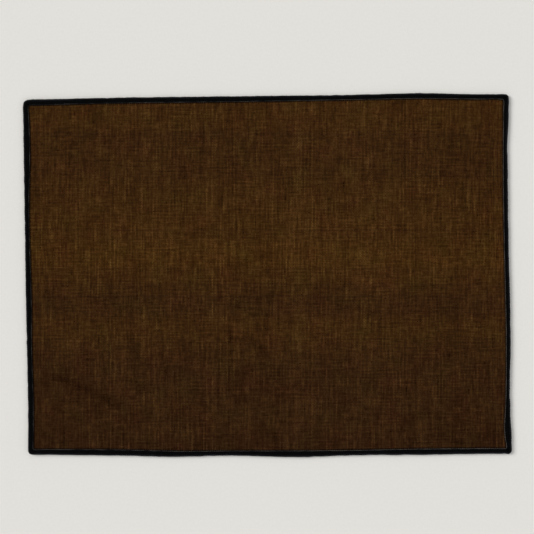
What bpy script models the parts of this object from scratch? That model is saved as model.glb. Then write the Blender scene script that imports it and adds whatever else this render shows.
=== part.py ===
"""Fabric placemat: a flat panel of woven cloth in an overlocked edging, lying on a table.

Lengths are named in millimetres and turned to metres when a mesh is made. +X runs along the long
side, +Y to the top edge, +Z up. The origin is the middle of the mat's outline, on the table.
"""

from collections import namedtuple
import math

import bmesh
import bpy
import numpy as np

MM = 0.001

# Driving dimensions of the cloth and its edging, in mm.
CLOTH_THICK = 1.2
EDGING_WIDTH = 5.5       # from the outer edge to the cloth, where no row below says another width
LOWER_THREADS = 0.7      # stitches under the cloth's edge
UPPER_THREADS = 0.5      # stitches over the cloth's edge
BEAD_HEIGHT = 0.3        # rise of the looped bead over the upper stitches
BEAD_ROUND = 0.9         # corner radius of the bead's section
BEAD_WIDTH = 2.2         # from the outer edge to where the bead has sunk to the upper stitches
EDGE_WALL = 1.2          # thread outside the cloth's raw edge
LIP_ROUND = 0.3          # rounding of the two inner lips
GAP = 0.3                # clearance between cloth and thread
POINT_PITCH = 10.0       # length of one step along a side
CORNER_STEPS = 5         # steps round a corner
LEAST_RADIUS = 0.6       # corner radius where the inset has used up the outer one

SLOT_FLOOR = LOWER_THREADS
CLOTH_LIFT = SLOT_FLOOR + GAP
SLOT_ROOF = CLOTH_LIFT + CLOTH_THICK + GAP
EDGING_TOP = SLOT_ROOF + UPPER_THREADS
BEAD_TOP = EDGING_TOP + BEAD_HEIGHT
BEAD_MIDDLE = BEAD_TOP / 2

# Where the straight sides would meet, anticlockwise from above. The bulge is how far the thread
# bunches up outside the corner's arc.
Corner = namedtuple("Corner", "name x y radius bulge")
CORNERS = (
    Corner("top_left", -227.4, 162.8, 5.0, 0.0),
    Corner("bottom_left", -222.7, -167.2, 4.5, 0.2),
    Corner("bottom_right", 227.2, -166.2, 5.0, 0.9),
    Corner("top_right", 224.4, 168.3, 3.5, 0.0),
)

# How the hand-guided edge strays: at a fraction along the side from its first corner to the next,
# `out` is how far it lies outside the straight line, and `width` is the edging's width there.
Stray = namedtuple("Stray", "along out width")
SIDES = {
    "left": (
        Stray(0.12, 0.1, 6.4),
        Stray(0.30, 0.1, 4.8),
        Stray(0.58, -0.1, 5.6),
        Stray(0.71, -0.4, 5.0),
        Stray(0.87, -0.6, 5.6),
    ),
    "bottom": (
        Stray(0.19, 1.1, 6.0),
        Stray(0.32, 2.1, 5.6),
        Stray(0.40, 1.3, 5.0),
        Stray(0.58, 2.6, 6.3),
        Stray(0.65, 1.5, 5.4),
        Stray(0.82, 0.8, 5.9),
    ),
    "right": (
        Stray(0.04, -0.2, 6.8),
        Stray(0.13, -1.2, 4.6),
        Stray(0.30, -0.1, 4.7),
        Stray(0.57, -1.2, 4.7),
        Stray(0.80, -1.7, 4.7),
        Stray(0.86, -1.9, 4.3),
        Stray(0.93, -0.7, 5.1),
    ),
    "top": (
        Stray(0.07, 0.4, 5.1),
        Stray(0.19, 2.0, 5.6),
        Stray(0.26, 1.5, 5.3),
        Stray(0.54, 1.1, 5.6),
        Stray(0.85, 1.0, 5.6),
    ),
}

# A point of a cross-section lies `widths` times the edging's width, plus `inset`, inside the
# outer edge, at height z.
SectionPoint = namedtuple("SectionPoint", "widths inset z")

# The edging's section: a C that is open towards the middle of the mat, round at its outer bead.
EDGING_SECTION = (
    SectionPoint(0, BEAD_ROUND, 0.0),
    SectionPoint(1, -LIP_ROUND, 0.0),
    SectionPoint(1, 0.0, LOWER_THREADS / 2),
    SectionPoint(1, -LIP_ROUND, SLOT_FLOOR),
    SectionPoint(0, EDGE_WALL, SLOT_FLOOR),
    SectionPoint(0, EDGE_WALL, SLOT_ROOF),
    SectionPoint(1, -LIP_ROUND, SLOT_ROOF),
    SectionPoint(1, 0.0, SLOT_ROOF + UPPER_THREADS / 2),
    SectionPoint(1, -LIP_ROUND, EDGING_TOP),
    SectionPoint(0, BEAD_WIDTH, EDGING_TOP + BEAD_HEIGHT / 3),
    SectionPoint(0, BEAD_ROUND, BEAD_TOP),
    SectionPoint(0, BEAD_ROUND * 0.3, BEAD_TOP - BEAD_ROUND * 0.55),
    SectionPoint(0, 0.0, BEAD_MIDDLE + 0.3),
    SectionPoint(0, 0.0, BEAD_MIDDLE - 0.3),
    SectionPoint(0, BEAD_ROUND * 0.3, BEAD_ROUND * 0.55),
)

# The cloth's underside, from the flat part that lies on the table to the raw edge, which the
# stitches under it hold up.
CLOTH_UNDERSIDE = (
    SectionPoint(1, 8.0, 0.0),
    SectionPoint(1, 5.5, 0.25 * CLOTH_LIFT),
    SectionPoint(1, 3.0, 0.75 * CLOTH_LIFT),
    SectionPoint(1, 0.6, CLOTH_LIFT),
    SectionPoint(0, EDGE_WALL + GAP, CLOTH_LIFT),
)

Finish = namedtuple("Finish", "name colour roughness")
BROWN_WEAVE = Finish("brown plain weave", (0.0382, 0.0165, 0.0048), 0.9)
BLACK_THREAD = Finish("black overlock thread", (0.0030, 0.0030, 0.0034), 0.7)


def clear_scene():
    """Removes the objects that the file starts with."""
    for old in list(bpy.data.objects):
        bpy.data.objects.remove(old, do_unlink=True)


def smooth_curve(knots, values, at):
    """Cubic curve through the knots, each slope taken from the neighbouring knots."""
    slopes = np.gradient(values, knots)
    i = np.clip(np.searchsorted(knots, at) - 1, 0, len(knots) - 2)
    step = knots[i + 1] - knots[i]
    t = (at - knots[i]) / step
    start = (2 * t**3 - 3 * t**2 + 1) * values[i] + (t**3 - 2 * t**2 + t) * step * slopes[i]
    end = (3 * t**2 - 2 * t**3) * values[i + 1] + (t**3 - t**2) * step * slopes[i + 1]
    return start + end


def corners_and_normals():
    """The corner points, and for the side that starts at each one its outward unit vector."""
    points = np.array([(corner.x, corner.y) for corner in CORNERS])
    along = np.roll(points, -1, axis=0) - points
    along /= np.linalg.norm(along, axis=1)[:, None]
    return points, np.column_stack((along[:, 1], -along[:, 0]))


def corner_arcs(inset):
    """The points of each corner's arc, with the outline moved `inset` inwards."""
    points, outward = corners_and_normals()
    arcs = []
    for i, corner in enumerate(CORNERS):
        before, after = outward[i - 1], outward[i]
        radius = max(corner.radius - inset, LEAST_RADIUS)
        mitre = (before + after) / (1 + before @ after)
        centre = points[i] - (inset + radius) * mitre
        start = math.atan2(before[1], before[0])
        sweep = math.atan2(before[0] * after[1] - before[1] * after[0], before @ after)
        share = np.linspace(0, 1, CORNER_STEPS + 1)
        bunched = corner.bulge * np.clip(1 - inset / EDGING_WIDTH, 0, 1) * np.sin(math.pi * share)
        reach = (radius + bunched)[:, None]
        angle = start + sweep * share
        arcs.append(centre + reach * np.column_stack((np.cos(angle), np.sin(angle))))
    return arcs


def ring(widths, inset):
    """A closed loop of (x, y) points round the mat, inside its outer edge.

    It lies `widths` times the local width of the edging plus `inset` inside the edge. Every loop
    has the same number of points, so that one joins to the next, point by point.
    """
    points, outward = corners_and_normals()
    arcs = corner_arcs(widths * EDGING_WIDTH + inset)
    loop = []
    for i, side in enumerate(SIDES.values()):
        following = (i + 1) % len(CORNERS)
        steps = round(math.dist(points[i], points[following]) / POINT_PITCH)
        along = np.linspace(0, 1, steps + 1)[1:-1]
        rows = (Stray(0.0, 0.0, EDGING_WIDTH), *side, Stray(1.0, 0.0, EDGING_WIDTH))
        knots, outs, edging_widths = np.array(rows).T
        width = smooth_curve(knots, edging_widths, along)
        stray = smooth_curve(knots, outs, along) - widths * (width - EDGING_WIDTH)
        first, last = arcs[i][-1], arcs[following][0]
        loop.append(arcs[i])
        loop.append(first + along[:, None] * (last - first) + stray[:, None] * outward[i])
    return np.vstack(loop)


def outline_centre():
    """The middle of the box round the mat's outer edge."""
    edge = ring(0, 0.0)
    return (edge.min(axis=0) + edge.max(axis=0)) / 2


def add_loops(bm, section):
    """Adds the vertices of a ring for each point of the section, and returns them by ring."""
    centre = outline_centre()
    loops = []
    for point in section:
        places = (ring(point.widths, point.inset) - centre) * MM
        loops.append([bm.verts.new((x, y, point.z * MM)) for x, y in places])
    return loops


def bridge(bm, inner, outer):
    """Joins two rings, point by point, with a band of four-sided faces."""
    for i, vert in enumerate(inner):
        following = (i + 1) % len(inner)
        bm.faces.new((vert, inner[following], outer[following], outer[i]))


def finish_piece(bm, name, finish, collection):
    """Makes the mesh an object with its own material, round parts shaded smooth."""
    bmesh.ops.recalc_face_normals(bm, faces=bm.faces)
    mesh = bpy.data.meshes.new(name)
    bm.to_mesh(mesh)
    bm.free()
    mesh.shade_smooth()
    mesh.set_sharp_from_angle(angle=math.radians(50))
    material = bpy.data.materials.new(finish.name)
    material.use_nodes = True
    shader = material.node_tree.nodes["Principled BSDF"]
    shader.inputs["Base Color"].default_value = (*finish.colour, 1.0)
    shader.inputs["Roughness"].default_value = finish.roughness
    shader.inputs["Metallic"].default_value = 0.0
    mesh.materials.append(material)
    collection.objects.link(bpy.data.objects.new(name, mesh))


def make_cloth_panel(collection):
    """The panel: flat on the table, with its raw edge lifted into the middle of the edging."""
    top = [point._replace(z=point.z + CLOTH_THICK) for point in reversed(CLOTH_UNDERSIDE)]
    bm = bmesh.new()
    loops = add_loops(bm, [*CLOTH_UNDERSIDE, *top])
    for inner, outer in zip(loops, loops[1:]):
        bridge(bm, inner, outer)
    for rim in (loops[0], loops[-1]):
        bm.faces.new(rim)
    finish_piece(bm, "cloth_panel", BROWN_WEAVE, collection)


def make_overlocked_edging(collection):
    """The edging: one ring of thread that wraps the panel's raw edge on both faces."""
    bm = bmesh.new()
    loops = add_loops(bm, EDGING_SECTION)
    for inner, outer in zip(loops, loops[1:] + loops[:1]):
        bridge(bm, inner, outer)
    finish_piece(bm, "overlocked_edging", BLACK_THREAD, collection)


def main():
    """Builds the placemat in a collection of its own."""
    clear_scene()
    placemat = bpy.data.collections.new("Fabric placemat")
    bpy.context.scene.collection.children.link(placemat)
    make_cloth_panel(placemat)
    make_overlocked_edging(placemat)


main()
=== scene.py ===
"""Fabric placemat: brown slub-yarn cloth in a black overlocked edging, laid flat on a pale table.

The cloth is one closed sheet. Its warp yarns stand up as ribs that are thick and thin along their
length, and soft creases are pressed into it. The edging is a packed core with the threads of an
overlock seam on it: a looper over each face, the needle thread along the inner side, and the chain
in which the loopers lock round the rim. The mat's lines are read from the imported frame. Sizes are
in millimetres and become metres where a mesh is made.
"""

import logging
import math
from dataclasses import dataclass
from enum import Enum

import bpy
import numpy as np
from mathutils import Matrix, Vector
from mathutils.kdtree import KDTree


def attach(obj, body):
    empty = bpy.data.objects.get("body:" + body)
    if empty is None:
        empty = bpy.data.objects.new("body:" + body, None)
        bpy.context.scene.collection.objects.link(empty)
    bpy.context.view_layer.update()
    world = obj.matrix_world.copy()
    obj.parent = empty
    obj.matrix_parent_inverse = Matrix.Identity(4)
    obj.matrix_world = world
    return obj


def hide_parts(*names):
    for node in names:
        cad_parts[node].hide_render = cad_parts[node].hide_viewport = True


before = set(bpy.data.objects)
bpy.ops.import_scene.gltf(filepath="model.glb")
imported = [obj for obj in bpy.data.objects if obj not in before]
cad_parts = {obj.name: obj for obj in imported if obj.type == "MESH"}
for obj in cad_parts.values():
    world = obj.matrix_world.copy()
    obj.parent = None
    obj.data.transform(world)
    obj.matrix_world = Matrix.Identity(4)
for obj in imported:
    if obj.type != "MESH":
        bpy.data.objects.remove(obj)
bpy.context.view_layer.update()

MM = 0.001
WELD_DISTANCE = 0.002
BODY = "root"
THREAD_MAP = "Threads"
WARP_TONE_AND_CREASE_SHADE = "warp_tone"
LOG = logging.getLogger("placemat")

Material = bpy.types.Material
Pair = tuple[float, float]
Piece = bpy.types.Object
Socket = bpy.types.NodeSocket


# --- Colour, nodes and object helpers ---------------------------------------------------------


def linear(hex_colour: str) -> tuple[float, float, float, float]:
    """Turns an sRGB hex colour into the linear one that a shader takes.

    Args:
        hex_colour: A # and six hex digits.

    Returns:
        Linear red, green and blue from 0 to 1, and an alpha of 1.
    """
    channels = [int(hex_colour[i : i + 2], 16) / 255 for i in (1, 3, 5)]
    curved = [c / 12.92 if c <= 0.04045 else ((c + 0.055) / 1.055) ** 2.4 for c in channels]
    return (*curved, 1.0)


def add_node(
    material: Material, kind: str, inputs: dict[str | int, object] | None = None, **settings: object
) -> bpy.types.Node:
    """Adds a node with its settings and links.

    Args:
        material: The material whose tree takes the node.
        kind: Blender's name of the node, without ShaderNode.
        inputs: For each input, by name or number, an output to link to it or a plain value.
        settings: The node's own properties.

    Returns:
        The new node.
    """
    tree = material.node_tree
    node = tree.nodes.new("ShaderNode" + kind)
    for name, value in settings.items():
        setattr(node, name, value)
    for socket, value in (inputs or {}).items():
        if isinstance(value, Socket):
            tree.links.new(value, node.inputs[socket])
        else:
            node.inputs[socket].default_value = value
    return node


def new_material(name: str) -> Material:
    """Makes a material whose tree is still empty.

    Args:
        name: The finish that it is named for.

    Returns:
        The material.
    """
    material = bpy.data.materials.new(name)
    material.use_nodes = True
    material.node_tree.nodes.clear()
    return material


def set_stops(ramp: bpy.types.Node, stops: list[tuple[float, tuple[float, ...]]]) -> None:
    """Gives a colour ramp its stops.

    Args:
        ramp: The node, with the two stops that it starts with.
        stops: In order, places from 0 to 1 with linear colours.
    """
    elements = ramp.color_ramp.elements
    for i, (place, colour) in enumerate(stops):
        element = elements[i] if i < 2 else elements.new(1.0)
        element.position = place
        element.color = colour


def weighted_sum(material: Material, start: float, parts: list[tuple[Socket, float]]) -> Socket:
    """Adds up outputs, each times its weight.

    Args:
        material: The material whose tree takes the nodes.
        start: The sum before the first part.
        parts: Outputs with their weights.

    Returns:
        The output that holds the sum.
    """
    total = start
    for output, weight in parts:
        terms = {0: output, 1: weight, 2: total}
        total = add_node(material, "Math", terms, operation="MULTIPLY_ADD").outputs[0]
    return total


def patches_of(
    material: Material, place: Socket, grain: tuple[float, ...], detail: float
) -> Socket:
    """An uneven tone whose patches have a real size.

    Args:
        material: The material whose tree takes the nodes.
        place: Coordinates in metres.
        grain: Size of a patch along each axis, in mm. The flat cloth has two axes.
        detail: Octaves finer than that.

    Returns:
        The noise, about 0.5 on average.
    """
    scale = tuple(1 / (size * MM) for size in (*grain, 1.0)[:3])
    scaled = add_node(material, "Mapping", {"Vector": place, "Scale": scale}).outputs[0]
    noise = {"Vector": scaled, "Scale": 1.0, "Detail": detail}
    return add_node(material, "TexNoise", noise).outputs[0]


def deselect_all() -> None:
    """Leaves nothing selected, so that an operator acts only on what comes next."""
    bpy.ops.object.select_all(action="DESELECT")


def places_of(piece: Piece) -> np.ndarray:
    """Reads where a piece's vertices are.

    Args:
        piece: The piece, at the origin.

    Returns:
        A row (x, y, z) in mm for each vertex.
    """
    places = np.empty(len(piece.data.vertices) * 3, np.float32)
    piece.data.vertices.foreach_get("co", places)
    return places.reshape(-1, 3).astype(float) / MM


def move_to(piece: Piece, places: np.ndarray) -> None:
    """Moves each vertex of a piece to its place in mm."""
    piece.data.vertices.foreach_set("co", (places * MM).astype(np.float32).ravel())
    piece.data.update()


def weld() -> None:
    """Joins vertices of the active piece that lie in one place, so that its seams are closed."""
    bpy.ops.object.mode_set(mode="EDIT")
    bpy.ops.mesh.select_all(action="SELECT")
    bpy.ops.mesh.remove_doubles(threshold=WELD_DISTANCE * MM)
    bpy.ops.object.mode_set(mode="OBJECT")


def finish_piece(piece: Piece, name: str, material: Material) -> None:
    """Names and dresses a piece, and lets it move with the mat.

    Args:
        piece: The finished mesh object, at the origin.
        name: Its name in the part.
        material: Its finish.
    """
    piece.name = piece.data.name = name
    piece.data.materials.clear()
    piece.data.materials.append(material)
    deselect_all()
    piece.select_set(True)
    bpy.context.view_layer.objects.active = piece
    bpy.ops.object.shade_smooth()
    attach(piece, BODY)


# --- Uneven hand work ---------------------------------------------------------------------------


def eased(share: np.ndarray) -> np.ndarray:
    """Bends a share from 0 to 1 so that it starts and ends gently."""
    return share * share * (3 - 2 * share)


def knot_weights(at: np.ndarray, pitch: float, knots: int) -> np.ndarray:
    """How much each of a row of evenly spaced knots counts at some places between them.

    Args:
        at: Places in mm from the first knot.
        pitch: Distance between knots in mm.
        knots: Number of knots.

    Returns:
        One row for each place, with a weight for each knot.
    """
    away = np.abs(at[:, None] / pitch - np.arange(knots)[None, :])
    return eased(np.clip(1 - away, 0, 1))


def neighbours(values: np.ndarray, turn: np.ndarray) -> tuple[np.ndarray, np.ndarray, np.ndarray]:
    """Finds which two of the evenly spaced values round a loop each place lies between.

    Args:
        values: A row for each step round the loop.
        turn: Places as parts of a full turn, which may run past its end.

    Returns:
        For each place, the value before it, the one after it, and its share of the way.
    """
    spot = turn % 1 * len(values)
    low = np.floor(spot).astype(int)
    share = (spot - low).reshape(-1, *[1] * (values.ndim - 1))
    return values[low % len(values)], values[(low + 1) % len(values)], share


@dataclass
class Tension:
    """Thread tension, which comes and goes along the seam and makes the bead swell and shrink."""

    length: float
    seed: int = 11
    waves: tuple[Pair, ...] = ((5.6, 0.8), (38.0, 0.5))

    def __post_init__(self) -> None:
        """Draws the knots of each wave."""
        rng = np.random.default_rng(self.seed)
        counts = [round(self.length / wave) for wave, _ in self.waves]
        self.knots = [rng.normal(size=count) for count in counts]

    def at(self, along: np.ndarray) -> np.ndarray:
        """The tension at some places.

        Args:
            along: Places along the seam in mm.

        Returns:
            The tension at each of them, mostly from -1 to 1.
        """
        total = np.zeros_like(along)
        for values, (_, size) in zip(self.knots, self.waves):
            first, second, share = neighbours(values, along / self.length)
            total += size * (first + eased(share) * (second - first))
        return total


# --- The mat's lines ----------------------------------------------------------------------------


class Side(Enum):
    """A side of the mat: the axis that its line crosses, and the direction in which it lies."""

    LEFT = (0, -1)
    RIGHT = (0, 1)
    BOTTOM = (1, -1)
    TOP = (1, 1)


@dataclass
class MatOutline:
    """The two lines that the edging runs between: the mat's rim and the edging's inner lip.

    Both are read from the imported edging. A place on the straightened edging is `along` the rim from
    its first point, `across` from the rim towards the cloth, and a `height` over the table. Where
    the edging is wider or narrower than usual, its middle stretches or shrinks. A corner takes up
    `corner_length` of both its sides, and a side's line lies further out than `side_share` of the
    furthest place.
    """

    node: str = "overlocked_edging"
    rim_height: float = 1.95
    lip_height: float = 2.75
    level_tolerance: float = 0.02
    usual_width: float = 5.5
    bead_width: float = 2.0
    lip_width: float = 2.0
    corner_length: float = 12.0
    side_share: float = 0.9
    step: float = 0.1

    def __post_init__(self) -> None:
        """Reads both lines and pairs each point of the rim with the nearest one of the lip."""
        self.rim = self.smooth_line(self.level_points(self.rim_height))
        lip = self.smooth_line(self.level_points(self.lip_height))
        tree = KDTree(len(lip))
        for i, point in enumerate(lip):
            tree.insert((*point, 0.0), i)
        tree.balance()
        self.lip = lip[[tree.find((*point, 0.0))[1] for point in self.rim]]
        self.width = np.linalg.norm(self.lip - self.rim, axis=1)
        steps = np.linalg.norm(np.roll(self.rim, -1, axis=0) - self.rim, axis=1)
        self.length = len(self.rim) * float(steps.mean())

    def level_points(self, height: float) -> np.ndarray:
        """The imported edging's corners at one height.

        Args:
            height: Height over the table in mm.

        Returns:
            Points (x, y) in mm, anticlockwise from above.
        """
        places = places_of(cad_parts[self.node])
        level = places[np.abs(places[:, 2] - height) < self.level_tolerance][:, :2]
        level = np.unique(np.round(level, 2), axis=0)
        return level[np.argsort(np.arctan2(level[:, 1], level[:, 0]))]

    def smooth_line(self, points: np.ndarray) -> np.ndarray:
        """A smooth closed line through points.

        Args:
            points: Its corners in mm, unevenly spaced.

        Returns:
            Points at even steps along it.
        """
        lap = 2
        looped = np.vstack([points[-lap:], points, points[: lap + 1]])
        at = np.concatenate([[0.0], np.cumsum(np.linalg.norm(np.diff(looped, axis=0), axis=1))])
        slopes = np.gradient(looped, at, axis=0)
        first, last = at[lap], at[lap + len(points)]
        spots = np.linspace(first, last, round((last - first) / self.step), endpoint=False)
        i = np.clip(np.searchsorted(at, spots, side="right") - 1, 0, len(at) - 2)
        gap = (at[i + 1] - at[i])[:, None]
        t = (spots - at[i])[:, None] / gap
        start = (2 * t**3 - 3 * t**2 + 1) * looped[i] + (t**3 - 2 * t**2 + t) * gap * slopes[i]
        end = (3 * t**2 - 2 * t**3) * looped[i + 1] + (t**3 - t**2) * gap * slopes[i + 1]
        return start + end

    def on_line(self, values: np.ndarray, along: np.ndarray) -> np.ndarray:
        """Reads one of the lines, or the width, between its points.

        Args:
            values: A row for each point of the rim.
            along: Places along the rim in mm, which may run past its end.

        Returns:
            A row for each place.
        """
        first, second, share = neighbours(values, along / self.length)
        return first + share * (second - first)

    def place(self, along: np.ndarray, across: np.ndarray, height: np.ndarray) -> np.ndarray:
        """Turns places on the straightened edging into places round the mat.

        Args:
            along: Along the rim in mm.
            across: From the rim inwards in mm, on an edging of the usual width.
            height: Over the table in mm.

        Returns:
            Points (x, y, z) in mm.
        """
        rim, lip = self.on_line(self.rim, along), self.on_line(self.lip, along)
        width = self.on_line(self.width, along)
        middle = self.usual_width - self.bead_width - self.lip_width
        stretched = np.clip((across - self.bead_width) / middle, 0, 1)
        inset = across + (width - self.usual_width) * stretched
        spot = rim + (inset / width)[:, None] * (lip - rim)
        return np.column_stack([spot, height])

    def side_line(self, side: Side, across: float, at: np.ndarray) -> np.ndarray:
        """How far out a line round the mat lies on one side.

        Args:
            side: The side of the mat.
            across: Distance of the line from the rim, in mm.
            at: Places along the side, as the other coordinate in mm.

        Returns:
            The coordinate that the line has at each place.
        """
        axis, direction = side.value
        along = np.arange(len(self.rim)) / len(self.rim) * self.length
        line = self.place(along, np.full(len(along), across), np.zeros(len(along)))
        reach = np.abs(line[:, 1 - axis]).max() - self.corner_length
        own = (line[:, axis] * direction > 0) & (np.abs(line[:, 1 - axis]) < reach)
        own &= np.abs(line[:, axis]) > np.abs(line[:, axis]).max() * self.side_share
        found = line[own]
        order = np.argsort(found[:, 1 - axis])
        return np.interp(at, found[order, 1 - axis], found[order, axis])


# --- Finishes -----------------------------------------------------------------------------------


@dataclass(frozen=True)
class Stripe:
    """Yarns of another shade, at a place in mm from the mat's middle."""

    at: float
    half_width: float
    tone: float


@dataclass(frozen=True)
class DyedSlubCloth:
    """Dyed plain-weave cotton of slub yarn: dead matt, with a fuzz that shows only from the side.

    The eye gets short warp and weft floats by turns. Each yarn has its own shade, because no two
    yarns took up the dye alike, and is lighter where it is thick. Each float also gets a painted
    light of its own, as it lies at its own angle to the light. The pits where four yarns meet are
    painted dark as shade, and the weave's crowns are painted lighter. The tone runs from 0 to 1 and
    is 0.5 on average. Sizes of patches are across and up, in mm. Real fibres are too fine to show, so
    coarser streaks stand for them.
    """

    name: str = "dyed slub cloth"
    shades: tuple[tuple[float, str], ...] = (
        (0.0, "#150801"),
        (0.27, "#281607"),
        (0.5, "#37210D"),
        (0.73, "#472F16"),
        (1.0, "#593E1E"),
    )
    roughness: float = 0.92
    specular: float = 0.02
    fuzz: float = 0.05
    fuzz_shade: str = "#6B4524"
    # The weave's relief, in mm and as shares of a yarn's rise.
    weft_pitch: float = 1.25
    dip: float = 0.6
    yarn_rise: float = 0.2
    slub_rise: float = 0.8
    fibre_rise: float = 0.25
    fibre_size: Pair = (0.16, 1.0)
    # What each yarn and each float adds to the tone. A streak is a length in mm and a tone.
    slub_tone: float = 0.073
    warp_streaks: tuple[Pair, ...] = ((8.0, 0.42), (28.0, 0.48), (75.0, 0.34))
    weft_streaks: tuple[Pair, ...] = ((8.0, 0.47), (26.0, 0.5))
    streak_width: float = 1.3
    shows_under: float = 0.5
    float_tone: float = 0.09
    fine_tone: float = 0.31
    fine_size: Pair = (1.8, 3.0)
    # Painted light and shade: the weave's crowns are painted lighter and its hollows darker.
    crown_painted_light: float = 0.15
    mean_crown: float = 0.647
    # The pits between the yarns, painted dark as the shade that falls in them, and the neps on them.
    pit_painted_shade: float = 0.32
    pit_relief: Pair = (0.15, 0.55)
    loose_size: Pair = (3.0, 3.0)
    loose_noise: Pair = (0.4, 0.75)
    loose_depth: Pair = (0.2, 2.0)
    nep_share: float = 0.004
    nep_tone: float = 0.4
    nep_relief: Pair = (0.4, 0.85)
    # The weft's bands, which run darker towards the bottom, and the uneven dye lie over all of that.
    band_depth: float = 3.85
    patch_depth: float = 0.52
    patch_size: Pair = (12.0, 14.0)
    area_depth: float = 0.35
    area_size: Pair = (40.0, 45.0)
    weft_hue: float = 0.004
    dye_hue: float = 0.03
    lot_size: Pair = (22.0, 25.0)
    band_hue: float = 0.054
    band_saturation: float = 0.27
    # Bands and stripes. A band is a place in mm up from the mat's middle and a tone.
    stripe_fade: float = 1.5
    weft_bands: tuple[Pair, ...] = (
        (165.0, 0.05), (140.0, 0.04), (129.0, 0.01), (92.0, 0.01), (88.0, 0.03), (66.0, 0.045),
        (46.0, 0.065), (38.0, 0.055), (25.0, 0.085), (10.0, 0.085), (6.0, 0.05), (-6.5, 0.05),
        (-8.0, 0.015), (-17.0, 0.015), (-23.0, -0.012), (-34.0, -0.01), (-42.0, 0.027),
        (-54.0, 0.03), (-66.0, 0.0), (-88.0, -0.035), (-144.0, -0.042), (-157.0, -0.065),
    )
    weft_lines: tuple[Stripe, ...] = (
        Stripe(130.7, 1.2, -0.04),
        Stripe(41.9, 1.0, -0.03),
        Stripe(-20.0, 2.0, -0.03),
    )
    warp_stripes: tuple[Stripe, ...] = (
        Stripe(-115.8, 1.2, 0.05),
        Stripe(-103.7, 2.2, 0.04),
        Stripe(-52.5, 5.0, 0.03),
        Stripe(-6.0, 6.5, -0.03),
        Stripe(27.4, 6.5, 0.05),
        Stripe(36.0, 18.0, 0.025),
        Stripe(41.4, 0.8, 0.08),
        Stripe(47.9, 2.0, -0.03),
        Stripe(80.4, 4.0, 0.02),
        Stripe(96.0, 26.0, 0.03),
        Stripe(130.7, 0.8, 0.05),
        Stripe(159.5, 3.0, -0.03),
        Stripe(198.0, 24.0, -0.024),
        Stripe(205.0, 1.0, -0.04),
    )

    def warp_tone(self, columns: np.ndarray, slub: np.ndarray) -> np.ndarray:
        """The tone of the warp yarns, lighter where they are thick.

        Args:
            columns: Place of each column of vertices in mm.
            slub: For each row and column, how thick the yarn is.

        Returns:
            For each row and column, what the tone gains.
        """
        stripes = np.zeros_like(columns)
        for stripe in self.warp_stripes:
            away = np.abs(columns - stripe.at) / stripe.half_width
            stripes += stripe.tone * np.clip(self.stripe_fade - away, 0, 1)
        return stripes[None, :] + self.slub_tone * slub

    def weft_rows(self) -> list[list[float]]:
        """Returns the weft's bands with its lines among them, as rows of place and tone."""
        ground = np.array(sorted(self.weft_bands))
        rows = [ground]
        for line in self.weft_lines:
            at = line.at + np.array([-1, 0, 1]) * line.half_width
            tone = np.interp(at, ground[:, 0], ground[:, 1]) + np.array([0, line.tone, 0])
            rows.append(np.column_stack([at, tone]))
        return sorted(np.vstack(rows).tolist())

    def weft_tone(self, material: Material, up: Socket, height: float) -> Socket:
        """The tone of the weft's bands and lines, as grey 0.5 where it is of the mean shade.

        Args:
            material: The material whose tree takes the nodes.
            up: The coordinate across the weft, in metres from the cloth's edge.
            height: The cloth's size along it in mm.

        Returns:
            The tone.
        """
        share = add_node(material, "Math", {0: up, 1: 1 / (height * MM)}, operation="MULTIPLY")
        ramp = add_node(material, "ValToRGB", {0: share.outputs[0]})
        stops = []
        for at, tone in self.weft_rows():
            grey = 0.5 + tone
            stops.append((min(max(at / height + 0.5, 0.0), 1.0), (grey, grey, grey, 1.0)))
        set_stops(ramp, stops)
        return ramp.outputs[0]

    def plain_weave(
        self, material: Material, places: tuple[Socket, Socket], pitches: Pair
    ) -> tuple[Socket, Socket]:
        """The relief of a plain weave, in which warp and weft are on top by turns.

        Args:
            material: The material whose tree takes the nodes.
            places: The coordinates across the warp and across the weft, in metres.
            pitches: Distance between the yarns of the warp and of the weft, in mm.

        Returns:
            The height from 0 to 1, and a mask that is 1 where a warp yarn is on top.
        """
        waves, crowns, turns = [], [], []
        for place, pitch in zip(places, pitches):
            turn = math.pi / (pitch * MM)
            angle = add_node(material, "Math", {0: place, 1: turn}, operation="MULTIPLY")
            wave = add_node(material, "Math", {0: angle.outputs[0]}, operation="SINE").outputs[0]
            waves.append(wave)
            crowns.append(add_node(material, "Math", {0: wave}, operation="ABSOLUTE").outputs[0])
            turns.append(add_node(material, "Math", {0: wave}, operation="SIGN").outputs[0])
        heights = []
        for own, other, dip in ((0, 1, self.dip), (1, 0, -self.dip)):
            crossed = {0: turns[own], 1: waves[other]}
            bent = add_node(material, "Math", crossed, operation="MULTIPLY").outputs[0]
            parts = {0: bent, 1: dip, 2: crowns[own]}
            heights.append(add_node(material, "Math", parts, operation="MULTIPLY_ADD").outputs[0])
        both = {0: heights[0], 1: heights[1]}
        highest = add_node(material, "Math", both, operation="MAXIMUM").outputs[0]
        to_one = {0: highest, 1: 1 / (1 + self.dip)}
        relief = add_node(material, "Math", to_one, operation="MULTIPLY").outputs[0]
        over = add_node(material, "Math", both, operation="GREATER_THAN").outputs[0]
        return relief, over

    def float_shade(self, material: Material, threads: Socket, pitches: Pair) -> Socket:
        """A shade of its own for each float, because each one lies at its own angle to the light.

        Args:
            material: The material whose tree takes the nodes.
            threads: The flat cloth's coordinates in metres.
            pitches: Distance between the yarns of the warp and of the weft, in mm.

        Returns:
            The shade from 0 to 1.
        """
        counts = (1 / (pitches[0] * MM), 1 / (pitches[1] * MM), 1.0)
        counted = add_node(material, "Mapping", {"Vector": threads, "Scale": counts})
        crossing = add_node(material, "VectorMath", {0: counted.outputs[0]}, operation="FLOOR")
        chance = add_node(material, "TexWhiteNoise", {"Vector": crossing.outputs[0]})
        return chance.outputs["Value"]

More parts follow.
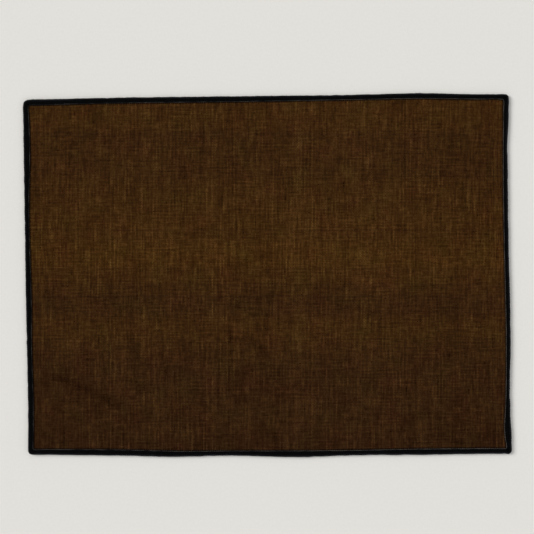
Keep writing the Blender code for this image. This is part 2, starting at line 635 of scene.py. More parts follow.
    def yarn_shade(
        self, material: Material, threads: Socket, over: Socket, pitches: Pair
    ) -> Socket:
        """The shade along the yarns: slubs and streaks in the warp, shorter streaks in the weft.

        The yarn on top counts in full. The one under it still shows at both sides of the float.

        Args:
            material: The material whose tree takes the nodes.
            threads: The flat cloth's coordinates in metres.
            over: 1 where a warp yarn is on top.
            pitches: Distance between the yarns of the warp and of the weft, in mm.

        Returns:
            What the tone gains.
        """
        # This attribute also holds the creases' painted shade.
        slub = add_node(material, "Attribute", attribute_name=WARP_TONE_AND_CREASE_SHADE).outputs["Fac"]
        warp_parts, weft_parts = [(slub, 1.0)], []
        for length, tone in self.warp_streaks:
            grain = (pitches[0] * self.streak_width, length)
            warp_parts.append((patches_of(material, threads, grain, 1.0), tone))
        for length, tone in self.weft_streaks:
            grain = (length, pitches[1] * self.streak_width)
            weft_parts.append((patches_of(material, threads, grain, 1.0), tone))
        warp_half = 0.5 * sum(tone for _, tone in self.warp_streaks)
        weft_half = 0.5 * sum(tone for _, tone in self.weft_streaks)
        warp = weighted_sum(material, -warp_half, warp_parts)
        weft = weighted_sum(material, -weft_half, weft_parts)
        top = add_node(material, "Mix", {0: over, 2: weft, 3: warp}).outputs[0]
        under = self.shows_under
        return weighted_sum(material, 0.0, [(warp, under), (weft, under), (top, 1 - under)])

    def fibres(self, material: Material, threads: Socket, over: Socket) -> Socket:
        """The fibres of whichever yarn is on top, as fine streaks along it.

        Args:
            material: The material whose tree takes the nodes.
            threads: The flat cloth's coordinates in metres.
            over: 1 where a warp yarn is on top.

        Returns:
            The streaks, from 0 to 1.
        """
        warp = patches_of(material, threads, self.fibre_size, 1.0)
        weft = patches_of(material, threads, self.fibre_size[::-1], 1.0)
        return add_node(material, "Mix", {0: over, 2: weft, 3: warp}).outputs[0]

    def pits(self, material: Material, threads: Socket, relief: Socket) -> Socket:
        """How deep the pits between the yarns are: deepest where the weave is loose.

        Args:
            material: The material whose tree takes the nodes.
            threads: The flat cloth's coordinates in metres.
            relief: The height of the weave from 0 to 1.

        Returns:
            The depth, mostly from 0 to 1.
        """
        sunk = {0: relief, 1: self.pit_relief[0], 2: self.pit_relief[1], 3: 1.0, 4: 0.0}
        low = add_node(material, "MapRange", sunk, interpolation_type="SMOOTHSTEP").outputs[0]
        loose = patches_of(material, threads, self.loose_size, 2.0)
        (least, most), (shallow, deep) = self.loose_noise, self.loose_depth
        gaps = {0: loose, 1: least, 2: most, 3: shallow, 4: deep}
        gap = add_node(material, "MapRange", gaps).outputs[0]
        return add_node(material, "Math", {0: low, 1: gap}, operation="MULTIPLY").outputs[0]

    def neps(self, material: Material, own: Socket, relief: Socket) -> Socket:
        """The few floats that are a dark knot of fibres, round as the float is.

        Args:
            material: The material whose tree takes the nodes.
            own: Each float's own shade, which picks them.
            relief: The height of the weave from 0 to 1.

        Returns:
            A mask that is 1 in the middle of a knot.
        """
        chance = {0: own, 1: 1 - self.nep_share}
        rare = add_node(material, "Math", chance, operation="GREATER_THAN").outputs[0]
        rise = {0: relief, 1: self.nep_relief[0], 2: self.nep_relief[1], 3: 0.0, 4: rare}
        return add_node(material, "MapRange", rise, interpolation_type="SMOOTHSTEP").outputs[0]

    def dyed(
        self, material: Material, threads: Socket, colour: Socket, over: Socket, height: float
    ) -> Socket:
        """Lays the weft's bands, which run darker towards the bottom, and the uneven dye over the
        yarns' colour.

        Where the bands or the dye darken the cloth, it is also, a little, of another hue.

        Args:
            material: The material whose tree takes the nodes.
            threads: The flat cloth's coordinates in metres.
            colour: The yarns' colour.
            over: 1 where a warp yarn is on top.
            height: The cloth's size across the weft in mm.

        Returns:
            The colour.
        """
        up = add_node(material, "SeparateXYZ", {0: threads}).outputs[1]
        band = self.weft_tone(material, up, height)
        patch = patches_of(material, threads, self.patch_size, 2.0)
        area = patches_of(material, threads, self.area_size, 3.0)
        lot = patches_of(material, threads, self.lot_size, 2.0)
        depth = weighted_sum(
            material,
            1 - 0.5 * (self.band_depth + self.patch_depth + self.area_depth),
            [(band, self.band_depth), (patch, self.patch_depth), (area, self.area_depth)],
        )
        hue = weighted_sum(
            material,
            0.5 - 0.5 * (self.weft_hue + self.dye_hue + self.band_hue),
            [(over, self.weft_hue), (lot, self.dye_hue), (band, self.band_hue)],
        )
        least = 1 - 0.5 * self.band_saturation
        saturation = weighted_sum(material, least, [(band, self.band_saturation)])
        dye = {"Color": colour, "Hue": hue, "Saturation": saturation, "Value": depth}
        return add_node(material, "HueSaturation", dye).outputs[0]

    def material(self, size: Pair, warp_pitch: float) -> Material:
        """Makes the material for a sheet.

        Args:
            size: The flat cloth's width and height in mm, as its UV map counts them.
            warp_pitch: Distance between warp yarns in mm.

        Returns:
            The material.
        """
        material = new_material(self.name)
        threads = add_node(material, "UVMap", uv_map=THREAD_MAP).outputs[0]
        axes = add_node(material, "SeparateXYZ", {0: threads})
        pitches = (warp_pitch, self.weft_pitch)
        relief, over = self.plain_weave(material, (axes.outputs[0], axes.outputs[1]), pitches)
        yarn = self.yarn_shade(material, threads, over, pitches)
        own = self.float_shade(material, threads, pitches)
        fibre = self.fibres(material, threads, over)
        pit = self.pits(material, threads, relief)
        fine = patches_of(material, threads, self.fine_size, 1.0)
        nep = self.neps(material, own, relief)
        tone = weighted_sum(
            material,
            0.5 - 0.5 * (self.float_tone + self.fine_tone) - self.crown_painted_light * self.mean_crown,
            [
                (yarn, 1.0),
                (own, self.float_tone),
                (fine, self.fine_tone),
                # Painted light and shade: lighter on the weave's crowns, darker in its hollows.
                (relief, self.crown_painted_light),
                # Painted shade: the pits between the yarns are painted darker.
                (pit, -self.pit_painted_shade),
                (nep, -self.nep_tone),
            ],
        )
        ramp = add_node(material, "ValToRGB", {0: tone})
        set_stops(ramp, [(at, linear(colour)) for at, colour in self.shades])
        dyed = self.dyed(material, threads, ramp.outputs[0], over, size[1])
        rises = [(relief, 1.0), (fibre, self.fibre_rise), (yarn, self.slub_rise)]
        height = weighted_sum(material, 0.0, rises)
        bump = add_node(
            material, "Bump", {"Height": height, "Distance": self.yarn_rise * MM, "Strength": 1.0}
        )
        shader = add_node(
            material,
            "BsdfPrincipled",
            {
                "Base Color": dyed,
                "Roughness": self.roughness,
                "Specular IOR Level": self.specular,
                "Sheen Weight": self.fuzz,
                "Sheen Tint": linear(self.fuzz_shade),
                "Normal": bump.outputs[0],
            },
        )
        add_node(material, "OutputMaterial", {"Surface": shader.outputs[0]})
        return material


@dataclass(frozen=True)
class SpunThread:
    """Spun polyester sewing thread: black, with a painted sheen that mixes in a lighter colour where
    it is pulled tight.

    The painted light slope is what its tone gains for each metre along X and Y: a painted light that
    makes the thread lighter on one side of the mat than on the other. Its fibres are drawn coarser
    than they are, so that they show.
    """

    name: str
    deep: str
    painted_sheen: str
    roughness: float = 0.45
    specular: float = 0.12
    mean_tone: float = 0.5
    tension_tone: float = 1.2
    tension_length: float = 5.6
    painted_light_slope: Pair = (0.0, 0.0)
    fibre_tone: float = 0.8
    fibre: float = 0.22
    fibre_relief: float = 0.05

    def material(self) -> Material:
        """Returns the material."""
        material = new_material(self.name)
        place = add_node(material, "TexCoord").outputs["Object"]
        pull = patches_of(material, place, (self.tension_length,) * 3, 2.0)
        fibre = patches_of(material, place, (self.fibre,) * 3, 2.0)
        axes = add_node(material, "SeparateXYZ", {0: place})
        shade = weighted_sum(
            material,
            self.mean_tone - 0.5 * (self.tension_tone + self.fibre_tone),
            [
                (pull, self.tension_tone),
                (fibre, self.fibre_tone),
                # Painted light: the tone gains along X and Y, as light falling from one side.
                (axes.outputs[0], self.painted_light_slope[0]),
                (axes.outputs[1], self.painted_light_slope[1]),
            ],
        )
        # Painted sheen: a lighter colour mixed into the thread's black where the shade runs high.
        blend = {0: shade, 6: linear(self.deep), 7: linear(self.painted_sheen)}
        mix = add_node(material, "Mix", blend, data_type="RGBA", clamp_factor=True)
        bump = add_node(
            material, "Bump", {"Height": fibre, "Distance": self.fibre_relief * MM, "Strength": 1.0}
        )
        shader = add_node(
            material,
            "BsdfPrincipled",
            {
                "Base Color": mix.outputs[2],
                "Roughness": self.roughness,
                "Specular IOR Level": self.specular,
                "Normal": bump.outputs[0],
            },
        )
        add_node(material, "OutputMaterial", {"Surface": shader.outputs[0]})
        return material


# The second colour of each thread is its painted sheen. The chain thread's stands for the highlight
# along the mat's rim.
PACKED_THREAD = SpunThread("packed overlock thread", "#020203", "#050506", 0.8, 0.04)
LOOPER_THREAD = SpunThread("overlock looper thread", "#030304", "#08080A", 0.6, 0.04)
CHAIN_THREAD = SpunThread("overlock chain thread", "#0B0C0F", "#26282E", 0.5, 0.16)
# Its painted light slope paints the needle thread lighter towards the right of the mat and darker
# towards the top, as light falling from the left.
NEEDLE_THREAD = SpunThread(
    "overlock needle thread", "#0D0C0C", "#58524C", 0.6, 0.12, 0.45, 2.2, 9.0, painted_light_slope=(1.0, -0.6)
)


@dataclass(frozen=True)
class PaleTable:
    """Matt painted board: even, with a barely visible roller texture."""

    name: str = "matt painted board"
    pale: str = "#E4E2DE"
    shade: str = "#DEDCD7"
    roller: float = 2.5
    roughness: float = 0.75
    specular: float = 0.2

    def material(self) -> Material:
        """Returns the material."""
        material = new_material(self.name)
        place = add_node(material, "TexCoord").outputs["Object"]
        grain = patches_of(material, place, (self.roller,) * 3, 3.0)
        blend = {0: grain, 6: linear(self.shade), 7: linear(self.pale)}
        mix = add_node(material, "Mix", blend, data_type="RGBA")
        paint = {
            "Base Color": mix.outputs[2],
            "Roughness": self.roughness,
            "Specular IOR Level": self.specular,
        }
        shader = add_node(material, "BsdfPrincipled", paint)
        add_node(material, "OutputMaterial", {"Surface": shader.outputs[0]})
        return material


# --- The cloth ----------------------------------------------------------------------------------


@dataclass(frozen=True)
class Crease:
    """A soft trough pressed into the cloth, or a ridge where its depth is negative.

    It runs from start to end, bowed sideways in its middle, and fades over a share of its length at
    both ends. The painted shade is how much darker the cloth is painted in it, as the shade that
    falls in the crease.
    """

    start: Pair
    end: Pair
    bow: float
    reach: float
    depth: float
    mark: float
    fade: float = 0.25

    def trace(self, x: np.ndarray, y: np.ndarray) -> np.ndarray:
        """How strong the crease is at each place.

        Args:
            x: The x of each vertex in mm.
            y: The y of each vertex in mm.

        Returns:
            Its strength from 0 to 1.
        """
        start, end = np.array(self.start), np.array(self.end)
        run = end - start
        length = np.linalg.norm(run)
        run = run / length
        along = ((x - start[0]) * run[0] + (y - start[1]) * run[1]) / length
        aside = -(x - start[0]) * run[1] + (y - start[1]) * run[0]
        aside = aside - self.bow * 4 * along * (1 - along)
        faded = np.clip(along / self.fade, 0, 1) * np.clip((1 - along) / self.fade, 0, 1)
        return faded * np.exp(-((aside / self.reach) ** 2))


@dataclass(frozen=True)
class LoneSlub:
    """One thick and pale place in a warp yarn, or a stained one where its tone is negative."""

    x: float
    y: float
    half_length: float
    tone: float
    half_width: float = 0.8

    def trace(self, x: np.ndarray, y: np.ndarray) -> np.ndarray:
        """Returns how much of it is at each place, from 0 to 1."""
        across, along = (x - self.x) / self.half_width, (y - self.y) / self.half_length
        return np.exp(-(across**2) - along**2)


@dataclass(frozen=True)
class Straying:
    """An uneven lie of the yarns: knots this far apart are off by chance, and the cloth follows."""

    across: float
    up: float
    reach: float
    seed: int

    def field(self, columns: np.ndarray, rows: np.ndarray) -> np.ndarray:
        """Works out how far off each vertex is.

        Args:
            columns: Column places in mm.
            rows: Row places in mm.

        Returns:
            The distance in mm for each row and column.
        """
        weights = []
        for at, pitch in ((rows, self.up), (columns, self.across)):
            knots = round((at[-1] - at[0]) / pitch) + 2
            weights.append(knot_weights(at - at[0], pitch, knots))
        rng = np.random.default_rng(self.seed)
        drawn = rng.normal(size=(weights[0].shape[1], weights[1].shape[1]))
        return self.reach * (weights[0] @ drawn @ weights[1].T)


@dataclass
class ClothPanel:
    """The panel: one closed sheet, ribbed by its warp yarns, that runs up into the edging."""

    outline: MatOutline
    finish: DyedSlubCloth = DyedSlubCloth()
    thickness: float = 1.2
    blank_thickness: float = 0.1
    yarn_pitch: float = 1.3
    raw_edge: float = 1.7
    # Its rows and columns of vertices. The underside has one for each `coarseness` on top.
    coarseness: int = 4
    coarse_rows: int = 32
    edge_rows: int = 8
    edge_row_pitch: float = 1.75
    # How it follows the edging and rises into it.
    corner_radius: float = 4.0
    edge_reach: float = 26.0
    lift: float = 1.0
    lift_start: float = 8.0
    lift_end: float = 0.6
    # Its ribs, and how unevenly the yarns lie.
    rib_height: float = 0.1
    rib_swell: float = 0.35
    rib_range: Pair = (0.2, 2.5)
    rib_flattening: float = 0.5
    ease: float = 0.35
    waves: Straying = Straying(65.0, 65.0, 0.12, 6)
    warp_stray: Straying = Straying(4.0, 28.0, 0.1, 7)
    weft_stray: Straying = Straying(28.0, 8.0, 0.2, 8)
    slub_length: float = 8.5
    slub_habit: float = 0.35
    slub_skew: float = 0.2
    seed: int = 5
    creases: tuple[Crease, ...] = (
        # The lower left fold, its sharp end, the upper right fold, the middle dent and the lower
        # right fold.
        Crease((-216.0, -87.5), (-119.0, -130.5), 0.8, 3.4, 0.25, 0.12),
        Crease((-212.0, -90.0), (-152.0, -112.5), 0.5, 2.6, 0.15, 0.13),
        Crease((156.0, 121.0), (212.0, 96.0), 1.0, 3.6, 0.2, 0.11),
        Crease((-22.0, -54.0), (4.0, -77.0), 0.0, 3.6, 0.2, 0.24),
        Crease((176.0, -128.0), (216.0, -152.0), 1.0, 4.0, 0.15, 0.02),
    )
    lone_slubs: tuple[LoneSlub, ...] = (
        LoneSlub(-34.5, -59.5, 7.5, -0.5, 0.6),
        LoneSlub(-34.5, -71.5, 2.8, -0.5),
        LoneSlub(70.6, 84.2, 2.0, -0.72),
        LoneSlub(16.7, 71.0, 2.6, -0.64),
        LoneSlub(-157.2, -59.9, 3.0, -0.61),
        LoneSlub(-179.5, 150.2, 1.8, -0.56),
        LoneSlub(-120.9, -20.9, 2.0, -0.56),
        LoneSlub(186.9, -107.4, 2.6, -0.56),
        LoneSlub(107.8, -113.9, 5.5, -0.48),
        LoneSlub(129.2, -106.4, 4.5, -0.38),
        LoneSlub(169.2, -74.8, 3.0, -0.48),
        LoneSlub(180.4, 21.5, 3.8, 0.44),
        LoneSlub(-114.8, -112.1, 3.8, 0.39),
        LoneSlub(90.0, -43.5, 6.5, 0.42),
        LoneSlub(-142.5, -50.6, 4.0, 0.35),
        LoneSlub(92.5, 102.0, 7.0, 0.39),
        LoneSlub(41.8, -125.0, 9.0, 0.36),
        LoneSlub(40.9, 154.0, 2.5, 0.42),
        LoneSlub(170.1, 68.4, 2.5, 0.39),
        LoneSlub(131.0, 58.1, 3.0, 0.35),
        LoneSlub(-141.4, -86.9, 6.0, 0.35),
    )

    def lattice(self) -> tuple[np.ndarray, np.ndarray]:
        """Where the columns and rows of vertices lie on the flat cloth.

        Returns:
            Column places, two for each warp yarn, and row places, close together at both ends. Both
            in mm from the cloth's middle.
        """
        raw = self.outline.rim * (1 - self.raw_edge / np.abs(self.outline.rim).max(axis=0))
        half = (raw.max(axis=0) - raw.min(axis=0)) / 2
        yarns = 2 * half[0] / self.yarn_pitch
        coarse_columns = round(2 * yarns / self.coarseness)
        columns = np.linspace(-half[0], half[0], coarse_columns * self.coarseness + 1)
        close = np.arange(self.edge_rows) * self.edge_row_pitch
        inner = half[1] - self.edge_rows * self.edge_row_pitch
        left = self.coarse_rows * self.coarseness - 2 * self.edge_rows
        wide = np.linspace(-inner, inner, left + 1)
        rows = np.concatenate([close - half[1], wide, (half[1] - close)[::-1]])
        return columns, rows

    def make_blank(self, columns: int, rows: int) -> Piece:
        """Models the cloth as it is cut: a closed sheet, finely divided on its upper face only.

        Args:
            columns: Number of columns of vertices on the upper face.
            rows: Number of rows there.

        Returns:
            A sheet of unit size.
        """
        deselect_all()
        bpy.ops.mesh.primitive_grid_add(
            x_subdivisions=(columns - 1) // self.coarseness,
            y_subdivisions=(rows - 1) // self.coarseness,
            size=1,
        )
        blank = bpy.context.object
        body = blank.modifiers.new("cloth thickness", "SOLIDIFY")
        body.thickness = self.blank_thickness
        body.offset = -1.0
        bpy.ops.object.modifier_apply(modifier=body.name)
        bpy.ops.object.mode_set(mode="EDIT")
        bpy.ops.mesh.select_mode(type="FACE")
        bpy.ops.mesh.select_all(action="DESELECT")
        bpy.ops.object.mode_set(mode="OBJECT")
        up = np.empty(len(blank.data.polygons) * 3, np.float32)
        blank.data.polygons.foreach_get("normal", up)
        blank.data.polygons.foreach_set("select", up[2::3] > 0.5)
        bpy.ops.object.mode_set(mode="EDIT")
        bpy.ops.mesh.subdivide(number_cuts=self.coarseness - 1)
        bpy.ops.object.mode_set(mode="OBJECT")
        return blank

    def slubs(self, columns: np.ndarray, rows: np.ndarray) -> np.ndarray:
        """How much thicker than usual each warp yarn is along its length.

        Some yarns are thick or thin by habit, all along, and the thick places stand out more.

        Args:
            columns: Column places in mm.
            rows: Row places in mm.

        Returns:
            For each row and column, a number whose spread is 1.
        """
        rng = np.random.default_rng(self.seed)
        yarns = (len(columns) - 1) // 2
        knots = round((rows[-1] - rows[0]) / self.slub_length) + 2
        drawn = rng.normal(size=(yarns, knots)) + self.slub_habit * rng.normal(size=(yarns, 1))
        crowns = knot_weights(rows - rows[0], self.slub_length, knots) @ drawn.T
        crowns = crowns + self.slub_skew * crowns**2
        crowns = (crowns - crowns.mean()) / crowns.std()
        beside = np.pad(crowns, ((0, 0), (1, 1)), mode="edge")
        thickness = np.empty((len(rows), len(columns)))
        thickness[:, 1::2] = crowns
        thickness[:, 0::2] = (beside[:, :-1] + beside[:, 1:]) / 2
        return thickness

    def fitted(self, columns: np.ndarray, rows: np.ndarray) -> tuple[np.ndarray, ...]:
        """Fits the flat lattice to the mat's uneven outline.

        Args:
            columns: Column places in mm.
            rows: Row places in mm.

        Returns:
            The x and y of each vertex, and its lift into the edging from 0 to 1.
        """
        flat_x, flat_y = np.meshgrid(columns, rows)
        x, y = flat_x.copy(), flat_y.copy()
        flatness = np.ones_like(flat_x)
        for side in Side:
            axis, direction = side.value
            at, own = (rows, flat_x) if axis == 0 else (columns, flat_y)
            end = columns[-1] if axis == 0 else rows[-1]
            edge = self.outline.side_line(side, self.raw_edge, at)
            lip = self.outline.side_line(side, self.outline.usual_width, at)
            shaped = (slice(None), None) if axis == 0 else (None, slice(None))
            near = eased(np.clip(1 - (end - own * direction) / self.edge_reach, 0, 1))
            moved = x if axis == 0 else y
            moved += (edge - direction * end)[shaped] * near
            inside = (lip[shaped] - moved) * direction
            rise = np.clip((self.lift_start - inside) / (self.lift_start - self.lift_end), 0, 1)
            flatness *= 1 - eased(rise)
        self.round_corners(x, y)
        return x, y, 1 - flatness

    def round_corners(self, x: np.ndarray, y: np.ndarray) -> None:
        """Pulls the four corners of the sheet in to arcs, in place.

        Args:
            x: The x of each vertex in mm.
            y: The y of each vertex in mm.
        """
        for row, column in ((0, 0), (0, -1), (-1, 0), (-1, -1)):
            tip = np.array([x[row, column], y[row, column]])
            centre = tip - np.sign(tip) * self.corner_radius
            out_x, out_y = (x - centre[0]) * np.sign(tip[0]), (y - centre[1]) * np.sign(tip[1])
            inside = (out_x > 0) & (out_y > 0)
            reach = np.hypot(out_x[inside], out_y[inside])
            pull = np.maximum(out_x[inside], out_y[inside]) / reach
            x[inside] = centre[0] + (x[inside] - centre[0]) * pull
            y[inside] = centre[1] + (y[inside] - centre[1]) * pull

    def make(self) -> Piece:
        """Builds and dresses the cloth.

        Returns:
            The sheet.
        """
        columns, rows = self.lattice()
        sheet = self.make_blank(len(columns), len(rows))
        flat = places_of(sheet) * MM
        column = np.rint((flat[:, 0] + 0.5) * (len(columns) - 1)).astype(int)
        row = np.rint((flat[:, 1] + 0.5) * (len(rows) - 1)).astype(int)
        upper = flat[:, 2] > -self.blank_thickness / 2
        slub = self.slubs(columns, rows)
        x, y, risen = self.fitted(columns, rows)
        x += self.warp_stray.field(columns, rows)
        y += self.weft_stray.field(columns, rows)
        laid = self.ease + self.waves.field(columns, rows)
        tone = self.finish.warp_tone(columns, slub)
        for crease in self.creases:
            trace = crease.trace(x, y)
            laid = laid - crease.depth * trace
            # Painted shade: each crease is painted darker, as the shade that falls in it.
            tone = tone - crease.mark * trace
        for lone in self.lone_slubs:
            tone = tone + lone.tone * lone.trace(x, y)
        laid = np.maximum(laid, 0.0) * (1 - risen) + self.lift * risen
        crown = np.tile(np.arange(len(columns)) % 2, (len(rows), 1))
        swell = np.clip(1 + self.rib_swell * slub, *self.rib_range)
        ribs = self.rib_height * crown * swell * (1 - self.rib_flattening * risen)
        height = laid[row, column] + upper * (self.thickness + ribs[row, column])
        move_to(sheet, np.column_stack([x[row, column], y[row, column], height]))
        self.map_threads(sheet, columns[column] - columns[0], rows[row] - rows[0])
        tone_layer = sheet.data.attributes.new(WARP_TONE_AND_CREASE_SHADE, "FLOAT", "POINT")
        tone_layer.data.foreach_set("value", tone[row, column].astype(np.float32))
        size = (columns[-1] - columns[0], rows[-1] - rows[0])
        material = self.finish.material(size, warp_pitch=2 * (columns[1] - columns[0]))
        finish_piece(sheet, "cloth_sheet", material)
        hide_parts("cloth_panel")
        return sheet

    def map_threads(self, sheet: Piece, across: np.ndarray, up: np.ndarray) -> None:
        """Gives the sheet a UV map that counts metres of flat cloth from its lower left corner.

        Args:
            sheet: The sheet.
            across: For each vertex, its place across the warp in mm.
            up: For each vertex, its place across the weft in mm.
        """
        flat = np.column_stack([across, up]) * MM
        corners = np.empty(len(sheet.data.loops), np.int32)
        sheet.data.loops.foreach_get("vertex_index", corners)
        layer = sheet.data.uv_layers[0]
        layer.name = THREAD_MAP
        layer.uv.foreach_set("vector", flat[corners].astype(np.float32).ravel())


# --- The edging ---------------------------------------------------------------------------------


@dataclass(frozen=True)
class ThreadPoint:
    """A point of a thread on the straight edging: along in stitches, across and height in mm."""

    along: float
    across: float
    height: float


class ThreadSides(Enum):
    """How many sides a thread's section has, as a curve's bevel resolution gives them."""

    FOUR = 0
    SIX = 1


@dataclass(frozen=True)
class Stitch:
    """One stitch of a thread, modelled once on the straight edging and then repeated."""

    name: str
    finish: SpunThread
    thickness: float
    sides: ThreadSides
    path: tuple[ThreadPoint, ...]
    seed: int

    def model(self, pitch: float) -> Piece:
        """Models the stitch as a mesh.

        Args:
            pitch: Length of a stitch in mm.

        Returns:
            The stitch, with X along the edging, Y across it and Z up.
        """
        deselect_all()
        bpy.ops.curve.primitive_nurbs_path_add()
        thread = bpy.context.object
        curve = thread.data
        curve.splines.clear()
        spline = curve.splines.new("POLY")
        spline.points.add(len(self.path) - 1)
        for point, spot in zip(spline.points, self.path):
            point.co = (spot.along * pitch * MM, spot.across * MM, spot.height * MM, 1.0)
        curve.dimensions = "3D"
        curve.bevel_depth = self.thickness / 2 * MM
        curve.bevel_resolution = self.sides.value
        curve.use_fill_caps = True
        bpy.ops.object.convert(target="MESH")
        weld()
        return bpy.context.object


UPPER_LOOPER = Stitch(
    "upper_looper",
    LOOPER_THREAD,
    0.6,
    ThreadSides.SIX,
    (
        ThreadPoint(0.00, 6.15, 2.20),
        ThreadPoint(0.03, 5.70, 2.66),
        ThreadPoint(0.12, 3.90, 2.80),
        ThreadPoint(0.22, 2.20, 2.86),
        ThreadPoint(0.30, 1.15, 2.98),
        ThreadPoint(0.38, 0.62, 2.74),
        ThreadPoint(0.44, 0.50, 2.20),
        ThreadPoint(0.52, 0.60, 2.74),
        ThreadPoint(0.60, 1.15, 2.98),
        ThreadPoint(0.68, 2.20, 2.86),
        ThreadPoint(0.83, 3.90, 2.80),
        ThreadPoint(0.97, 5.70, 2.66),
        ThreadPoint(1.00, 6.15, 2.20),
    ),
    21,
)
LOWER_LOOPER = Stitch(
    "lower_looper",
    LOOPER_THREAD,
    0.5,
    ThreadSides.FOUR,
    (
        ThreadPoint(0.50, 5.40, 0.62),
        ThreadPoint(0.54, 4.90, 0.30),
        ThreadPoint(0.68, 2.60, 0.28),
        ThreadPoint(0.80, 0.95, 0.32),
        ThreadPoint(0.86, 0.50, 0.70),
        ThreadPoint(0.94, 0.40, 1.25),
        ThreadPoint(1.02, 0.50, 0.70),
        ThreadPoint(1.08, 0.95, 0.32),
        ThreadPoint(1.26, 2.60, 0.28),
        ThreadPoint(1.46, 4.90, 0.30),
        ThreadPoint(1.50, 5.40, 0.62),
    ),
    22,
)
NEEDLE_THREAD_TOP = Stitch(
    "needle_thread",
    NEEDLE_THREAD,
    0.42,
    ThreadSides.SIX,
    (
        ThreadPoint(0.02, 5.24, 2.45),
        ThreadPoint(0.16, 5.14, 2.94),
        ThreadPoint(0.50, 5.04, 3.08),
        ThreadPoint(0.84, 4.96, 2.94),
        ThreadPoint(0.98, 4.92, 2.45),
    ),
    23,
)
NEEDLE_LOOPS = Stitch(
    "needle_loops",
    NEEDLE_THREAD,
    0.34,
    ThreadSides.FOUR,
    (
        ThreadPoint(0.15, 5.20, 0.64),
        ThreadPoint(0.35, 5.02, 0.22),
        ThreadPoint(0.65, 5.02, 0.22),
        ThreadPoint(0.85, 5.20, 0.64),
    ),
    24,
)
RIM_CHAIN = Stitch(
    "rim_chain",
    CHAIN_THREAD,
    0.62,
    ThreadSides.SIX,
    (
        ThreadPoint(-0.30, 0.70, 0.95),
        ThreadPoint(-0.10, 0.42, 1.20),
        ThreadPoint(0.18, 0.27, 1.60),
        ThreadPoint(0.42, 0.30, 2.10),
        ThreadPoint(0.64, 0.52, 2.58),
        ThreadPoint(0.86, 0.92, 2.92),
        ThreadPoint(1.06, 1.40, 3.00),
        ThreadPoint(1.20, 1.75, 2.80),
    ),
    25,
)


@dataclass(frozen=True)
class SectionPoint:
    """A point of the core's section: across from the rim and over the table, in mm."""

    across: float
    height: float


@dataclass
class OverlockedEdging:
    """The edging: a packed core that wraps the cloth's raw edge, and the stitches over it.

    Each stitch sways a little off its place, but not up or down below `sway_floor`, so that no
    thread goes into the table.
    """

    outline: MatOutline
    stitch_length: float = 1.8
    core_step: float = 1.6
    core_section: tuple[SectionPoint, ...] = (
        SectionPoint(0.24, 1.65),
        SectionPoint(0.32, 2.30),
        SectionPoint(0.75, 2.78),
        SectionPoint(1.50, 2.84),
        SectionPoint(2.40, 2.70),
        SectionPoint(5.10, 2.62),
        SectionPoint(5.38, 2.52),
        SectionPoint(5.10, 2.44),
        SectionPoint(1.25, 2.44),
        SectionPoint(1.25, 0.72),
        SectionPoint(5.10, 0.64),
        SectionPoint(5.32, 0.46),
        SectionPoint(5.10, 0.24),
        SectionPoint(1.30, 0.24),
        SectionPoint(0.62, 0.40),
        SectionPoint(0.32, 0.95),
    )
    lump: float = 0.06
    lump_seed: int = 31
    sway_along: float = 0.14
    sway_across: float = 0.1
    sway_height: float = 0.04
    sway_floor: float = 0.4
    swell: float = 0.14
    stitches: tuple[Stitch, ...] = (
        UPPER_LOOPER,
        LOWER_LOOPER,
        NEEDLE_THREAD_TOP,
        NEEDLE_LOOPS,
        RIM_CHAIN,
    )

    def __post_init__(self) -> None:
        """Works out the stitches round the mat and the tension that they share."""
        self.count = round(self.outline.length / self.stitch_length)
        self.pitch = self.outline.length / self.count
        self.tension = Tension(self.outline.length)

    def swollen(self, along: np.ndarray, across: np.ndarray) -> np.ndarray:
        """Returns how far the bead swells outwards at each place, in mm."""
        bead = np.clip(1 - across / self.outline.bead_width, 0, 1)
        return self.swell * self.tension.at(along) * bead

    def make_core(self) -> Piece:
        """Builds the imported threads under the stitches, as one ring with a C-shaped section.

        A flat strip is rolled up to the section, laid round the mat, and welded along both seams.

        Returns:
            The core.
        """
        steps, corners = round(self.outline.length / self.core_step), len(self.core_section)
        deselect_all()
        bpy.ops.mesh.primitive_grid_add(x_subdivisions=steps, y_subdivisions=corners, size=1)
        core = bpy.context.object
        rng = np.random.default_rng(self.lump_seed)
        lumps = self.lump * rng.uniform(-1, 1, size=(corners, steps))
        lumps = np.pad(lumps, ((0, 1), (0, 1)), mode="wrap")
        section = np.array([(point.across, point.height) for point in self.core_section])
        section = np.vstack([section, section[:1]])
        along = np.tile(np.arange(steps + 1) / steps * self.outline.length, corners + 1)
        across, height = np.repeat(section, steps + 1, axis=0).T
        lumps = lumps.ravel() * (across < self.outline.bead_width)
        across = across + lumps - self.swollen(along, across)
        move_to(core, self.outline.place(along, across, height))
        weld()
        finish_piece(core, "edging_core", PACKED_THREAD.material())
        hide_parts("overlocked_edging")
        return core

    def sew(self, stitch: Stitch) -> Piece:
        """Repeats a stitch in a straight row, and lays the row round the mat.

        Args:
            stitch: The stitch.

        Returns:
            All of them as one piece.
        """
        seam = stitch.model(self.pitch)
        corners = len(seam.data.vertices)
        row = seam.modifiers.new("row of stitches", "ARRAY")
        row.count = self.count
        row.use_relative_offset = False
        row.use_constant_offset = True
        row.constant_offset_displace = (self.pitch * MM, 0.0, 0.0)
        bpy.ops.object.modifier_apply(modifier=row.name)
        along, across, height = places_of(seam).T
        rng = np.random.default_rng(stitch.seed)
        stray = np.repeat(rng.uniform(-1, 1, size=(self.count, 3)), corners, axis=0)
        along = along + self.sway_along * stray[:, 0]
        across = across + self.sway_across * stray[:, 1] - self.swollen(along, across)
        height = height + self.sway_height * stray[:, 2] * (height > self.sway_floor)
        move_to(seam, self.outline.place(along, across, height))
        finish_piece(seam, stitch.name, stitch.finish.material())
        return seam

    def make(self) -> list[Piece]:
        """Builds the whole edging.

        Returns:
            Its pieces.
        """
        return [self.make_core(), *[self.sew(stitch) for stitch in self.stitches]]


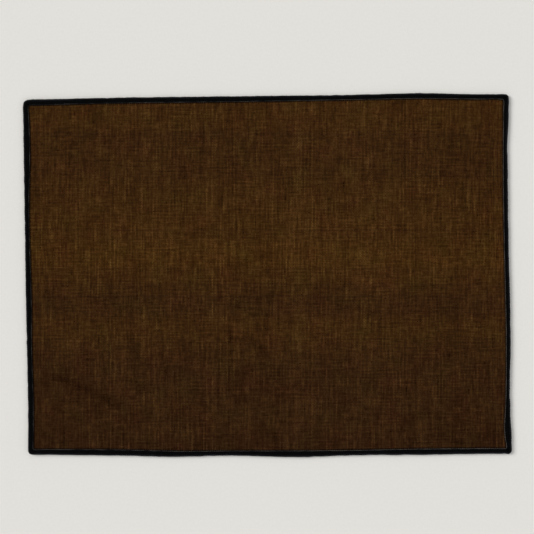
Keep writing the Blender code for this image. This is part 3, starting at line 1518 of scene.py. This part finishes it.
# --- Studio -------------------------------------------------------------------------------------


@dataclass(frozen=True)
class SoftLight:
    """A broad light so far off that it is the same all over the table."""

    name: str
    comes_from: tuple[float, float, float]
    breadth: float
    strength: float
    colour: str


@dataclass
class Studio:
    """The pale table in an evenly lit room, a soft light from the left, and the camera above."""

    image_side: float = 534.0
    mm_per_pixel: float = 0.93
    mat_pixel: Pair = (267.55, 275.04)
    lens: float = 85.0
    sensor: float = 36.0
    focus_height: float = 1.65
    table_side: float = 100.0
    table_drop: float = 0.05
    sky: str = "#F4F5F6"
    sky_strength: float = 0.62
    lights: tuple[SoftLight, ...] = (
        SoftLight("key light", (-2.1, 0.8, 1.6), 30.0, 2.2, "#FFFDFA"),
        SoftLight("fill light", (1.6, -1.2, 1.5), 45.0, 0.2, "#F8FBFF"),
    )

    def make_table(self) -> None:
        """Lays the table top that the mat lies on."""
        deselect_all()
        bpy.ops.mesh.primitive_plane_add(
            size=self.table_side, location=(0.0, 0.0, -self.table_drop * MM)
        )
        table = bpy.context.object
        table.name = "table"
        table.data.materials.append(PaleTable().material())

    def make_lights(self) -> None:
        """Hangs the lights and sets the light of the room."""
        for light in self.lights:
            bpy.ops.object.light_add(type="SUN", location=light.comes_from)
            lamp = bpy.context.object
            lamp.name = light.name
            lamp.data.angle = math.radians(light.breadth)
            lamp.data.energy = light.strength
            lamp.data.color = linear(light.colour)[:3]
            lamp.rotation_euler = (-Vector(light.comes_from)).to_track_quat("-Z", "Y").to_euler()
        room = bpy.data.worlds.new("studio room")
        room.use_nodes = True
        background = room.node_tree.nodes["Background"]
        background.inputs["Color"].default_value = linear(self.sky)
        background.inputs["Strength"].default_value = self.sky_strength
        bpy.context.scene.world = room

    def make_camera(self) -> None:
        """Sets the camera straight above, so that the mat has its place and size in the frame."""
        middle = self.image_side / 2
        x = (middle - self.mat_pixel[0]) * self.mm_per_pixel
        y = (self.mat_pixel[1] - middle) * self.mm_per_pixel
        distance = self.image_side * self.mm_per_pixel * self.lens / self.sensor
        bpy.ops.object.camera_add(
            location=(x * MM, y * MM, (distance + self.focus_height) * MM), rotation=(0.0, 0.0, 0.0)
        )
        camera = bpy.context.object
        camera.name = "camera above the mat"
        camera.data.lens = self.lens
        camera.data.sensor_width = self.sensor
        bpy.context.scene.camera = camera
        bpy.context.scene.view_settings.view_transform = "Standard"

    def make(self) -> None:
        """Sets up the table, the lights and the camera."""
        self.make_table()
        self.make_lights()
        self.make_camera()


def main() -> None:
    """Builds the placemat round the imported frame, then the studio."""
    logging.basicConfig(level=logging.INFO, format="%(name)s %(message)s")
    outline = MatOutline()
    edging = OverlockedEdging(outline)
    LOG.info("rim: %.0f mm", outline.length)
    LOG.info("edging: %d stitches of %.2f mm", edging.count, edging.pitch)
    for piece in [ClothPanel(outline).make(), *edging.make()]:
        triangles = sum(len(face.vertices) - 2 for face in piece.data.polygons)
        LOG.info("%s: %d triangles", piece.name, triangles)
    Studio().make()


if __name__ == "__main__":
    main()
